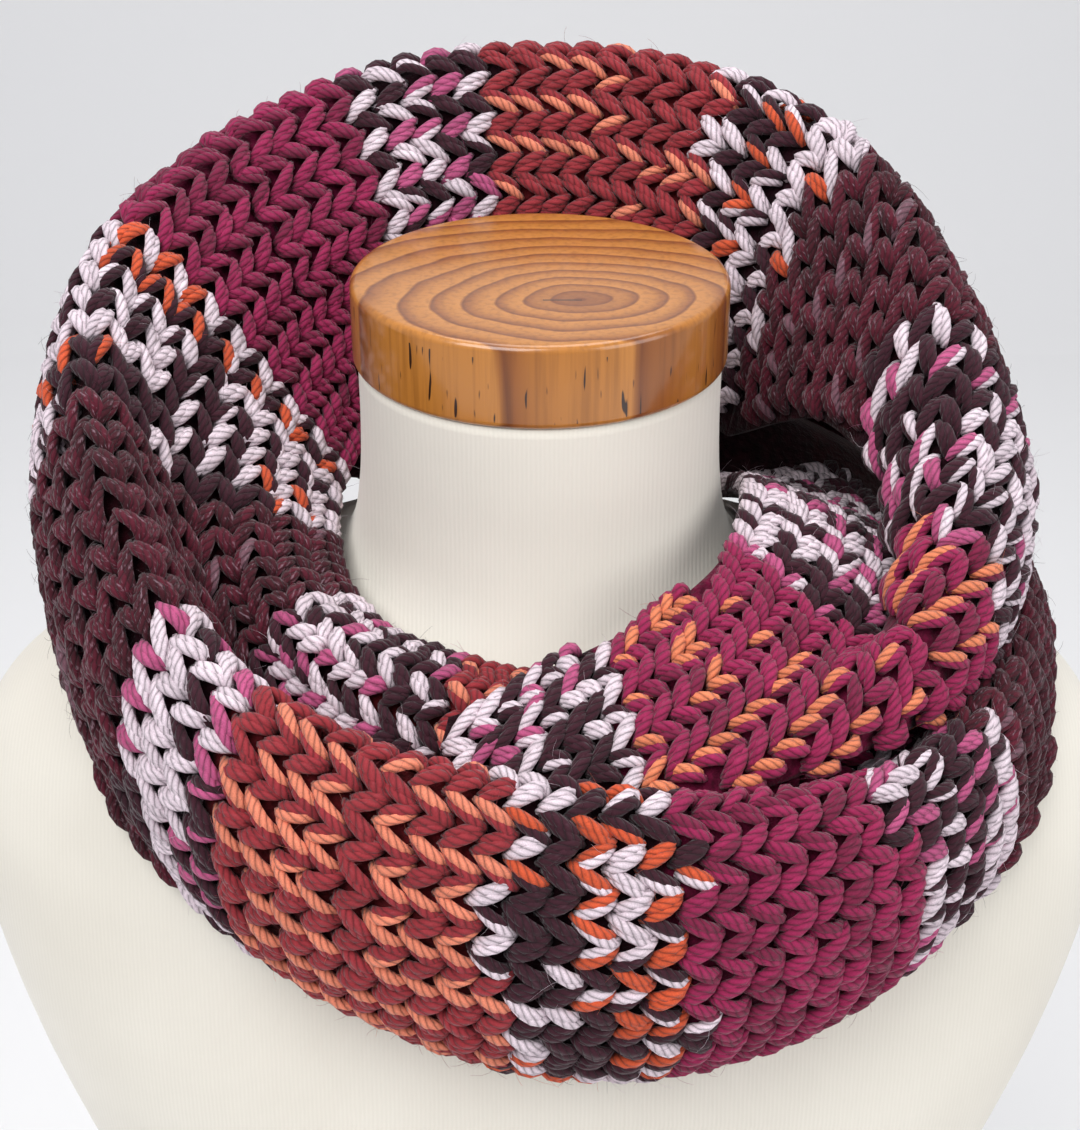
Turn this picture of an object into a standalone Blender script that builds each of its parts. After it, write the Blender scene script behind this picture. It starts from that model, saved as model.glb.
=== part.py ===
"""Infinity scarf wound twice round the neck of a limbless dress form with a turned wooden neck cap.

Metres, +Z up, front towards -Y. The origin is the middle of the form's flat underside.
The scarf is one knitted band. Each stretch of it is a smooth surface through a short table of sections, one row
for each angle round the neck, given a wall and cut into the stretches that show.
"""

import math

import bmesh
import bpy
import numpy as np
from mathutils import Vector
from mathutils.bvhtree import BVHTree

CAP_TOP = 0.700  # height of the neck cap's top above the base
CAP_RADIUS = 0.056
CAP_THICKNESS = 0.025
CAP_EDGE = 0.0012

CLOTH_THICKNESS = 0.006  # two strands of chunky yarn, knitted as a deep rib
CLOTH_CLEARANCE = 0.001  # between the cloth and the form that it lies on
SEAM_ANGLE = 0.25  # degrees left open between two stretches

STATION_STEP = 5.5  # degrees between the sections of the cloth solids
FORM_SEGMENTS = 60
FORM_RINGS = 37

# The form, from its neck to its flat underside: millimetres below the cap's top, half width, half depth,
# how far the section's middle lies in front of the neck's, and the power of its rounded outline.
# The first one lies 0.3 mm below the cap.
FORM_SECTIONS = (
    # drop, half_width, half_depth, forward, power
    (25.3, 54.5, 54.5, 0.0, 2.0),
    (45.0, 54.5, 54.5, 0.0, 2.0),
    (64.0, 55.5, 55.0, 0.0, 2.0),
    (80.0, 58.5, 57.5, 0.0, 2.0),
    (91.0, 66.0, 62.5, 0.0, 2.0),
    (99.0, 83.0, 70.0, 0.0, 2.0),
    (106.5, 108.0, 78.5, 0.0, 2.0),
    (115.0, 132.0, 86.0, 0.5, 2.05),
    (125.0, 155.0, 92.0, 1.0, 2.1),
    (137.0, 173.0, 97.0, 2.0, 2.15),
    (153.0, 183.0, 101.5, 3.0, 2.2),
    (172.0, 187.0, 106.0, 4.0, 2.25),
    (205.0, 182.0, 111.0, 6.0, 2.3),
    (245.0, 172.0, 114.0, 7.0, 2.3),
    (295.0, 158.0, 111.0, 6.0, 2.25),
    (345.0, 145.0, 103.0, 4.0, 2.2),
    (395.0, 137.0, 97.0, 2.0, 2.2),
    (440.0, 140.0, 99.0, 1.0, 2.2),
    (495.0, 154.0, 106.0, 0.0, 2.25),
    (555.0, 168.0, 113.0, 0.0, 2.3),
    (610.0, 175.0, 117.0, 0.0, 2.3),
    (660.0, 176.0, 117.5, 0.0, 2.3),
    (688.0, 174.0, 116.0, 0.0, 2.3),
    (697.0, 169.5, 112.0, 0.0, 2.3),
    (700.0, 162.0, 105.0, 0.0, 2.3),
)

# The upper turn, from behind the right shoulder, round the back and the left, to the front and the right.
# Angles are degrees round the neck, 0 in front and growing towards the right. Each pair is the distance from the
# neck's axis and the height above the cap's top, in millimetres, of a point on the side of the cloth that shows.
UPPER_TURN = (
    # angle, hem, inner crest, valley, top fold, belly, under the belly, tucked edge
    (-235, (72, -72), (84, -28), (97, 2), (117, 23), (137, -9), (148, -46), (152, -82)),
    (-205, (74, -68), (84, -24), (95, 6), (116, 34), (136, 2), (145, -38), (147, -80)),
    (-180, (76, -66), (84, -22), (94, 6), (114, 37), (134, 6), (142, -34), (143, -77)),
    (-150, (74, -66), (84, -24), (94, 3), (117, 32), (137, 0), (145, -40), (146, -82)),
    (-120, (66, -70), (84, -36), (102, -8), (125, 17), (143, -14), (149, -54), (148, -96)),
    (-90, (62, -76), (86, -50), (108, -28), (132, -3), (147, -32), (150, -72), (147, -110)),
    (-72, (64, -80), (89, -66), (110, -60), (131, -22), (149, -50), (150, -88), (145, -120)),
    (-56, (68, -84), (92, -76), (112, -88), (132, -46), (151, -72), (151, -110), (138, -142)),
    (-40, (71, -88), (92, -83), (113, -104), (135, -68), (154, -96), (150, -134), (130, -164)),
    (-20, (71, -91), (92, -88), (116, -110), (136, -80), (156, -112), (151, -152), (120, -184)),
    (0, (70, -95), (92, -95), (117, -116), (137, -87), (157, -122), (152, -165), (118, -196)),
    (20, (71, -97), (93, -101), (119, -123), (140, -95), (159, -126), (154, -168), (122, -197)),
    (40, (73, -99), (95, -105), (123, -126), (146, -101), (161, -127), (157, -160), (137, -182)),
    (60, (76, -103), (98, -109), (127, -122), (148, -98), (159, -115), (161, -136), (153, -154)),
    (80, (78, -106), (100, -111), (126, -114), (146, -93), (154, -100), (158, -110), (159, -119)),
    (112, (82, -108), (102, -112), (122, -112), (142, -90), (150, -96), (155, -105), (157, -116)),
)
UPPER_TURN_STEPS = 22

# The roll that carries the collar on over the right shoulder, its inner leg standing on the inner band.
OVER_RIGHT = (
    # angle, inner leg, inner wall, upper wall, roll, outside, low side, tucked edge
    (50, (116, -84), (118, -82), (121, -80), (128, -78), (135, -83), (139, -91), (140, -101)),
    (58, (114, -81), (117, -77), (121, -72), (129, -68), (139, -76), (143, -87), (143, -99)),
    (70, (109, -74), (111, -64), (116, -54), (126, -49), (139, -59), (146, -76), (145, -95)),
    (84, (100, -60), (103, -48), (109, -36), (121, -29), (139, -41), (148, -62), (149, -84)),
    (97, (86, -52), (92, -38), (103, -20), (120, -8), (138, -27), (148, -55), (151, -81)),
    (110, (76, -60), (85, -34), (99, -8), (119, 9), (138, -17), (148, -50), (152, -80)),
    (125, (72, -72), (84, -28), (97, 2), (117, 23), (137, -9), (148, -46), (152, -82)),
)
OVER_RIGHT_STEPS = 16

# The band's inner part beside that roll, from the hollow under the collar to where the two run together.
INNER_RIGHT = (
    # angle, inner edge, upper slope, lower slope, outer edge
    (50, (71, -66), (87, -70), (102, -77), (115, -85)),
    (60, (68, -62), (88, -68), (106, -78), (124, -92)),
    (75, (64, -61), (84, -67), (106, -79), (125, -92)),
    (95, (63, -70), (82, -78), (104, -86), (123, -92)),
    (122, (68, -86), (84, -89), (103, -92), (120, -94)),
)
INNER_RIGHT_STEPS = 10

# The whole band where it crosses the front, its low side tucked under the upper turn's top fold.
CROSSING_FRONT = (
    # angle, inner edge, upper slope, lower slope, crease, roll, low side, tucked edge
    (-14, (103, -88), (107, -90), (110, -92), (113, -95), (116, -98), (119, -101), (121, -105)),
    (5, (80, -82), (92, -85), (101, -89), (108, -93), (114, -97), (120, -101), (124, -106)),
    (22, (75, -76), (90, -80), (103, -85), (111, -89), (118, -93), (125, -98), (129, -104)),
    (38, (74, -69), (90, -74), (104, -80), (113, -84), (123, -86), (132, -92), (135, -101)),
    (50, (71, -66), (87, -70), (102, -77), (116, -84), (128, -78), (139, -91), (140, -101)),
)
CROSSING_FRONT_STEPS = 14

# The lower turn where it shows: behind, below the collar, from the right shoulder to the left one.
LOWER_TURN = (
    # angle, top edge, outside, low edge
    (112, (142, -90), (151, -102), (157, -116)),
    (135, (128, -80), (144, -96), (148, -122)),
    (158, (124, -68), (137, -92), (128, -128)),
    (180, (121, -64), (133, -94), (118, -134)),
    (205, (123, -66), (135, -94), (126, -124)),
    (230, (124, -70), (136, -86), (139, -108)),
    (252, (122, -68), (133, -80), (138, -95)),
)
LOWER_TURN_STEPS = 8

MM = 0.001


def clear_scene():
    for obj in list(bpy.data.objects):
        bpy.data.objects.remove(obj, do_unlink=True)


def collection(name):
    made = bpy.data.collections.new(name)
    bpy.context.scene.collection.children.link(made)
    return made


def material(name, colour, roughness):
    made = bpy.data.materials.new(name)
    made.use_nodes = True
    shader = made.node_tree.nodes["Principled BSDF"]
    shader.inputs["Base Color"].default_value = (*colour, 1.0)
    shader.inputs["Roughness"].default_value = roughness
    shader.inputs["Metallic"].default_value = 0.0
    made.diffuse_color = (*colour, 1.0)
    return made


def smooth_through(knots, values, at):
    """A curve through the values at the knots: cubic between two knots, with the slope of the chord across each."""
    knots = np.asarray(knots, float)
    values = np.asarray(values, float)
    slopes = np.gradient(values, knots, axis=0)
    index = np.clip(np.searchsorted(knots, at, side="right") - 1, 0, len(knots) - 2)
    width = (knots[index + 1] - knots[index]).reshape(-1, *[1] * (values.ndim - 1))
    part = (np.asarray(at, float) - knots[index]).reshape(width.shape) / width
    return (
        values[index] * (2 * part**3 - 3 * part**2 + 1)
        + values[index + 1] * (3 * part**2 - 2 * part**3)
        + slopes[index] * width * (part**3 - 2 * part**2 + part)
        + slopes[index + 1] * width * (part**3 - part**2)
    )


def evenly_along(curve, steps):
    """The curve's points again, at equal lengths along it."""
    lengths = np.concatenate([[0.0], np.cumsum(np.linalg.norm(np.diff(curve, axis=0), axis=1))])
    wanted = np.linspace(0.0, lengths[-1], steps + 1)
    return np.stack([np.interp(wanted, lengths, curve[:, axis]) for axis in range(curve.shape[1])], axis=1)


def in_space(angle, section):
    """The section's (radius, height) points, in the upright plane through the neck's axis at that angle."""
    radius, height = section.T * MM
    return np.stack([radius * math.sin(angle), -radius * math.cos(angle), CAP_TOP + height], axis=1)


def pushed_clear(angle, section, tree, distance):
    """The section with each point that lies too near the tree's surface moved out of it, within its own plane."""
    outward = Vector((math.sin(angle), -math.cos(angle), 0.0))
    moved = section.copy()
    for index, point in enumerate(in_space(angle, section)):
        place, normal, _, _ = tree.find_nearest(Vector(point))
        short = distance - (Vector(point) - place).dot(normal)
        if short > 0:
            step = np.array([normal.dot(outward), normal.z])
            moved[index] += step * short / (step @ step) / MM
    return moved


def shown_side(section):
    """Unit vectors across the section, towards the side that shows: its direction turned a quarter to the left."""
    along = np.gradient(section, axis=0)
    across = np.stack([-along[:, 1], along[:, 0]], axis=1)
    return across / np.linalg.norm(across, axis=1, keepdims=True)


def band_rings(table, first, last, steps, tree):
    """Closed sections of the wall, one for each station between two angles: the shown side, then the hidden one."""
    stations = np.linspace(first, last, max(2, round(abs(last - first) / STATION_STEP)) + 1)
    sections = smooth_through([row[0] for row in table], [row[1:] for row in table], stations)
    fine = np.linspace(0.0, sections.shape[1] - 1, 12 * steps)
    rings = []
    for angle, section in zip(np.radians(stations), sections):
        curve = evenly_along(smooth_through(np.arange(len(section)), section, fine), steps)
        shown = pushed_clear(angle, curve, tree, CLOTH_THICKNESS + CLOTH_CLEARANCE)
        hidden = shown - shown_side(shown) * CLOTH_THICKNESS / MM
        hidden = pushed_clear(angle, hidden, tree, CLOTH_CLEARANCE)
        rings.append(in_space(angle, np.concatenate([shown, hidden[::-1]])))
    return rings


def mesh_object(name, points, faces, home, finish):
    mesh = bpy.data.meshes.new(name)
    mesh.from_pydata([tuple(point) for point in points], [], faces)
    mesh.validate()
    mesh.update()
    mesh.shade_smooth()
    mesh.set_sharp_from_angle(angle=math.radians(50))
    made = bpy.data.objects.new(name, mesh)
    made.data.materials.append(finish)
    home.objects.link(made)
    return made


def lofted(name, rings, home, finish):
    """A closed solid through rings of equally many points, closed flat at both ends."""
    count = len(rings[0])
    faces = [tuple(range(count))]
    for row in range(len(rings) - 1):
        for column in range(count):
            after = (column + 1) % count
            here, there = row * count, (row + 1) * count
            faces.append((here + after, here + column, there + column, there + after))
    faces.append(tuple(range(len(rings) * count - 1, (len(rings) - 1) * count - 1, -1)))
    return mesh_object(name, np.concatenate(rings), faces, home, finish)


def outline(half_width, half_depth, forward, power):
    """A rounded outline: an ellipse whose cosine and sine are raised to 2 / power."""
    turn = np.linspace(0.0, 2 * math.pi, FORM_SEGMENTS, endpoint=False)
    across = np.sign(np.cos(turn)) * np.abs(np.cos(turn)) ** (2 / power)
    along = np.sign(np.sin(turn)) * np.abs(np.sin(turn)) ** (2 / power)
    return np.stack([across * half_width, along * half_depth - forward], axis=1) * MM


def dress_form(home):
    """The torso: its outlines lofted from the neck down."""
    known = np.arange(len(FORM_SECTIONS))
    rings = []
    for size in smooth_through(known, FORM_SECTIONS, np.linspace(0, known[-1], FORM_RINGS)):
        drop, half_width, half_depth, forward, power = size
        ring = outline(half_width, half_depth, forward, power)
        height = np.full((FORM_SEGMENTS, 1), CAP_TOP - drop * MM)
        rings.append(np.hstack([ring, height]))
    return lofted("dress_form", rings, home, material("cotton_jersey", (0.79, 0.75, 0.66), 0.9))


def neck_cap(home):
    """The turned pine disc on the neck, its edges eased."""
    mesh = bpy.data.meshes.new("neck_cap")
    shape = bmesh.new()
    bmesh.ops.create_cone(
        shape,
        cap_ends=True,
        segments=64,
        radius1=CAP_RADIUS,
        radius2=CAP_RADIUS,
        depth=CAP_THICKNESS,
    )
    shape.to_mesh(mesh)
    shape.free()
    made = bpy.data.objects.new("neck_cap", mesh)
    made.location.z = CAP_TOP - CAP_THICKNESS / 2
    made.data.materials.append(material("varnished_pine", (0.52, 0.20, 0.03), 0.25))
    eased = made.modifiers.new("eased_edges", "BEVEL")
    eased.width = CAP_EDGE
    eased.segments = 2
    eased.limit_method = "ANGLE"
    mesh.shade_smooth()
    mesh.set_sharp_from_angle(angle=math.radians(40))
    home.objects.link(made)
    return made


def tree_of(obj):
    mesh = obj.data
    return BVHTree.FromPolygons(
        [vertex.co.copy() for vertex in mesh.vertices], [tuple(face.vertices) for face in mesh.polygons]
    )


def scarf(home, form):
    """Every stretch of the band, each clear of the form and of the next by a small gap."""
    wool = material("knitted_wool_blend", (0.30, 0.03, 0.06), 0.9)
    tree = tree_of(form)
    gap = SEAM_ANGLE / 2
    for name, table, first, last, steps in (
        ("collar_back", UPPER_TURN, -235, -125, UPPER_TURN_STEPS),
        ("collar_left", UPPER_TURN, -125, -56, UPPER_TURN_STEPS),
        ("front_loop", UPPER_TURN, -56, 112, UPPER_TURN_STEPS),
        ("over_right", OVER_RIGHT, 50, 125, OVER_RIGHT_STEPS),
        ("inner_right", INNER_RIGHT, 50, 122, INNER_RIGHT_STEPS),
        ("crossing_front", CROSSING_FRONT, -14, 50, CROSSING_FRONT_STEPS),
        ("under_back", LOWER_TURN, 112, 252, LOWER_TURN_STEPS),
    ):
        rings = band_rings(table, first + gap, last - gap, steps, tree)
        lofted(name, rings[::-1], home, wool)


def main():
    clear_scene()
    home = collection("infinity_scarf")
    form = dress_form(home)
    neck_cap(home)
    scarf(home, form)


main()
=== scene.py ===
import math

import bpy
import numpy as np
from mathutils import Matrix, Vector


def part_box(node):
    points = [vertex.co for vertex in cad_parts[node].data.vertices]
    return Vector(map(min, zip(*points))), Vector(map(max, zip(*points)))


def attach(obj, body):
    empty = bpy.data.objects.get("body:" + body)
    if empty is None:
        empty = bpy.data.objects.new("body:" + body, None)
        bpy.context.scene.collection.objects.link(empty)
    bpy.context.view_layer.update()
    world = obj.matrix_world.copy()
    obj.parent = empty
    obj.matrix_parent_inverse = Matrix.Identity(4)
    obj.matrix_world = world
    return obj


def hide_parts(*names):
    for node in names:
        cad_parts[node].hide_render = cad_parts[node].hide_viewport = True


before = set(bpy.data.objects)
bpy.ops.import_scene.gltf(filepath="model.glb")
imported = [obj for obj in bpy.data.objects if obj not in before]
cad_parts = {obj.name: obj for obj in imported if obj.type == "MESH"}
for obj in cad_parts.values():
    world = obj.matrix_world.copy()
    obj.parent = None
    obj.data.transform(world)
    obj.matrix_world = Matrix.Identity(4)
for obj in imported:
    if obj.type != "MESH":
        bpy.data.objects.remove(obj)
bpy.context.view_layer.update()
mm = 0.001
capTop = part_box("neck_cap")[1].z  # heights in the tables count from here
print("frame loaded, cap top at", round(capTop, 4))


def linear(hexColour):
    # sRGB to linear: c / 12.92 below 0.04045, else ((c + 0.055) / 1.055) to the power 2.4
    shades = np.array([int(hexColour[i:i + 2], 16) for i in (1, 3, 5)]) / 255
    low = shades / 12.92
    high = ((shades + 0.055) / 1.055) ** 2.4
    return (*np.where(shades <= 0.04045, low, high), 1.0)


def addNode(tree, kind, settings=None, links=None):
    # one node: settings go to its attributes, or to its inputs where the key is a socket's name or number
    node = tree.nodes.new(kind)
    for key, value in (settings or {}).items():
        if isinstance(key, str) and hasattr(node, key):
            setattr(node, key, value)
        else:
            node.inputs[key].default_value = value
    for key, source in (links or {}).items():
        tree.links.new(source, node.inputs[key])
    return node


def newMaterial(name, settings):
    made = bpy.data.materials.new(name)
    made.use_nodes = True
    shader = made.node_tree.nodes["Principled BSDF"]
    for key, value in settings.items():
        shader.inputs[key].default_value = value
    return made, made.node_tree, shader


def newMesh(name, points, quads, extraFaces=(), smooth=True):
    # quads is an (n, 4) array of indices; extraFaces are (m, k) arrays, one for each kind of face
    mesh = bpy.data.meshes.new(name)
    groups = [np.asarray(group, np.int32) for group in (quads, *extraFaces) if len(group)]
    sizes = np.concatenate([np.full(len(group), group.shape[1], np.int32) for group in groups])
    mesh.vertices.add(len(points))
    mesh.vertices.foreach_set("co", np.ascontiguousarray(points, np.float32).ravel())
    mesh.loops.add(int(sizes.sum()))
    mesh.loops.foreach_set("vertex_index", np.concatenate([group.ravel() for group in groups]))
    mesh.polygons.add(len(sizes))
    mesh.polygons.foreach_set("loop_start", np.concatenate([[0], np.cumsum(sizes)[:-1]]).astype(np.int32))
    mesh.polygons.foreach_set("use_smooth", np.full(len(sizes), smooth))
    mesh.update(calc_edges=True)
    made = bpy.data.objects.new(name, mesh)
    bpy.context.scene.collection.objects.link(made)
    return made


def smoothThrough(knots, values, at):
    # cubic between two knots, with the slope of the chord across each knot
    knots = np.asarray(knots, float)
    values = np.asarray(values, float)
    slopes = np.gradient(values, knots, axis=0)
    index = np.clip(np.searchsorted(knots, at, side="right") - 1, 0, len(knots) - 2)
    width = (knots[index + 1] - knots[index]).reshape(-1, *[1] * (values.ndim - 1))
    part = (np.asarray(at, float) - knots[index]).reshape(width.shape) / width
    return (
        values[index] * (2 * part**3 - 3 * part**2 + 1)
        + values[index + 1] * (3 * part**2 - 2 * part**3)
        + slopes[index] * width * (part**3 - 2 * part**2 + part)
        + slopes[index + 1] * width * (part**3 - part**2)
    )


form = {
    "rings": 170,
    "segments": 192,
    "sections": (  # millimetres below the cap's top, half width, half depth, forward, power of the outline
        (25.3, 54.5, 54.5, 0.0, 2.0),
        (45.0, 54.5, 54.5, 0.0, 2.0),
        (64.0, 55.5, 55.0, 0.0, 2.0),
        (80.0, 58.5, 57.5, 0.0, 2.0),
        (91.0, 66.0, 62.5, 0.0, 2.0),
        (99.0, 83.0, 70.0, 0.0, 2.0),
        (106.5, 108.0, 78.5, 0.0, 2.0),
        (115.0, 132.0, 86.0, 0.5, 2.05),
        (125.0, 155.0, 92.0, 1.0, 2.1),
        (137.0, 173.0, 97.0, 2.0, 2.15),
        (153.0, 183.0, 101.5, 3.0, 2.2),
        (172.0, 187.0, 106.0, 4.0, 2.25),
        (205.0, 182.0, 111.0, 6.0, 2.3),
        (245.0, 172.0, 114.0, 7.0, 2.3),
        (295.0, 158.0, 111.0, 6.0, 2.25),
        (345.0, 145.0, 103.0, 4.0, 2.2),
        (395.0, 137.0, 97.0, 2.0, 2.2),
        (440.0, 140.0, 99.0, 1.0, 2.2),
        (495.0, 154.0, 106.0, 0.0, 2.25),
        (555.0, 168.0, 113.0, 0.0, 2.3),
        (610.0, 175.0, 117.0, 0.0, 2.3),
        (660.0, 176.0, 117.5, 0.0, 2.3),
        (688.0, 174.0, 116.0, 0.0, 2.3),
        (697.0, 169.5, 112.0, 0.0, 2.3),
        (700.0, 162.0, 105.0, 0.0, 2.3),
    ),
}
sectionKnots = np.arange(len(form["sections"]))
denseSections = smoothThrough(sectionKnots, form["sections"], np.linspace(0, sectionKnots[-1], 600))


def formLevel(points):
    # (|x / width|^p + |(y + forward) / depth|^p)^(1/p) - 1: zero on the form, above zero outside it
    drop = (capTop - points[..., 2]) / mm
    halfWidth, halfDepth, forward, power = (
        np.interp(drop, denseSections[:, 0], denseSections[:, column]) for column in range(1, 5)
    )
    across = np.abs(points[..., 0] / mm / halfWidth) + 1e-6
    along = np.abs((points[..., 1] / mm + forward) / halfDepth) + 1e-6
    return (across**power + along**power) ** (1 / power) - 1


def clearOfForm(points, outward, distance):
    # moves each point within its upright plane until level / slope, its distance to the form, is enough
    step = 2e-4
    points = points.copy()
    up = np.array([0.0, 0.0, 1.0])
    for _ in range(4):
        level = formLevel(points)
        slopes = [(formLevel(points + step * axis) - level) / step for axis in np.eye(3)]
        gradient = np.stack(slopes, -1)
        size = np.linalg.norm(gradient, axis=-1) + 1e-9
        short = np.clip(distance - level / size, 0, 0.01)
        inPlane = (gradient * outward).sum(-1, keepdims=True) * outward + gradient[..., 2:] * up
        inPlane /= size[..., None]
        points += inPlane * (short / ((inPlane**2).sum(-1) + 1e-9))[..., None]
    return points


def dressForm():
    # superellipses, x = a sgn(cos) |cos|^(2/p), y = b sgn(sin) |sin|^(2/p) - forward, lofted from the neck down
    known = denseSections[np.linspace(0, 599, form["rings"]).round().astype(int)]
    turn = np.linspace(0, 2 * math.pi, form["segments"], endpoint=False)[None, :]
    drop, halfWidth, halfDepth, forward, power = (known[:, i:i + 1] for i in range(5))
    x = np.sign(np.cos(turn)) * np.abs(np.cos(turn)) ** (2 / power) * halfWidth
    y = np.sign(np.sin(turn)) * np.abs(np.sin(turn)) ** (2 / power) * halfDepth - forward
    z = capTop / mm - drop + 0 * x
    points = np.stack([x, y, z], -1).reshape(-1, 3) * mm
    count = form["segments"]
    rows, columns = np.meshgrid(np.arange(form["rings"] - 1), np.arange(count), indexing="ij")
    here, after = rows * count + columns, rows * count + (columns + 1) % count
    quads = np.stack([after, here, here + count, after + count], -1).reshape(-1, 4)
    top = np.arange(count)[None, :]
    bottom = np.arange(count)[None, ::-1] + (form["rings"] - 1) * count
    return newMesh("jersey_form", points, quads, (top, bottom))


def cottonJersey():
    # cotton jersey pulled over foam: matt, cream, with fine upright wales, so the eye reads soft cloth
    made, tree, shader = newMaterial("cotton_jersey", {
        "Roughness": 0.92, "IOR": 1.5, "Sheen Weight": 0.2, "Sheen Roughness": 0.5,
    })
    place = addNode(tree, "ShaderNodeTexCoord")
    wales = addNode(tree, "ShaderNodeTexWave", {
        "bands_direction": "X", "Scale": 0.314 / 1.3 / mm, "Distortion": 1.2, "Detail": 2.0,
        "Detail Scale": 0.4,
    }, {"Vector": place.outputs["Object"]})  # one wale each 1.3 mm
    pills = addNode(tree, "ShaderNodeTexNoise", {"Scale": 900.0, "Detail": 4.0},
                    {"Vector": place.outputs["Object"]})
    broad = addNode(tree, "ShaderNodeTexNoise", {"Scale": 9.0, "Detail": 3.0},
                    {"Vector": place.outputs["Object"]})
    tone = addNode(tree, "ShaderNodeMath", {"operation": "MULTIPLY_ADD", 1: 0.1},
                   {0: wales.outputs["Fac"], 2: broad.outputs["Fac"]})
    ramp = addNode(tree, "ShaderNodeValToRGB", {}, {"Fac": tone.outputs[0]})
    ramp.color_ramp.elements[0].color = linear("#D9D3C6")
    ramp.color_ramp.elements[0].position = 0.3
    ramp.color_ramp.elements[1].color = linear("#EBE6DA")
    ramp.color_ramp.elements[1].position = 0.9
    height = addNode(tree, "ShaderNodeMath", {"operation": "MULTIPLY_ADD", 1: 0.5},
                     {0: pills.outputs["Fac"], 2: wales.outputs["Fac"]})
    bump = addNode(tree, "ShaderNodeBump", {"Strength": 0.14, "Distance": 0.0003},
                   {"Height": height.outputs[0]})
    tree.links.new(ramp.outputs["Color"], shader.inputs["Base Color"])
    tree.links.new(bump.outputs["Normal"], shader.inputs["Normal"])
    return made


formPiece = dressForm()
formPiece.data.materials.append(cottonJersey())
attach(formPiece, "root")
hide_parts("dress_form")
print("dress form made")

cap = {
    "radius": 56 * mm,
    "thickness": 25 * mm,
    "easing": 2.2 * mm,
    "segments": 192,
    "pith": (11.4 * mm, -20.9 * mm),
}


def neckCap():
    # a profile turned round the axis: flat top, quarter-round edges, upright side
    bend = np.linspace(0, math.pi / 2, 7)
    e, r, t = cap["easing"], cap["radius"], cap["thickness"]
    flat = np.linspace(0.004, r - e, 12)
    radii = np.concatenate([flat[:-1], r - e + e * np.sin(bend), r - e + e * np.cos(bend), flat[::-1][1:]])
    heights = np.concatenate([np.zeros(11), e * np.cos(bend) - e, -t + e - e * np.sin(bend), np.full(11, -t)])
    turn = np.linspace(0, 2 * math.pi, cap["segments"], endpoint=False)
    x = radii[:, None] * np.cos(turn)
    y = radii[:, None] * np.sin(turn)
    z = capTop + heights[:, None] + 0 * x
    count = cap["segments"]
    rows, columns = np.meshgrid(np.arange(len(radii) - 1), np.arange(count), indexing="ij")
    here, after = rows * count + columns, rows * count + (columns + 1) % count
    quads = np.stack([after, here, here + count, after + count], -1).reshape(-1, 4)
    top = np.arange(count)[None, :]
    bottom = np.arange(count)[None, ::-1] + (len(radii) - 1) * count
    return newMesh("pine_cap", np.stack([x, y, z], -1).reshape(-1, 3), quads, (top, bottom))


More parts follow.
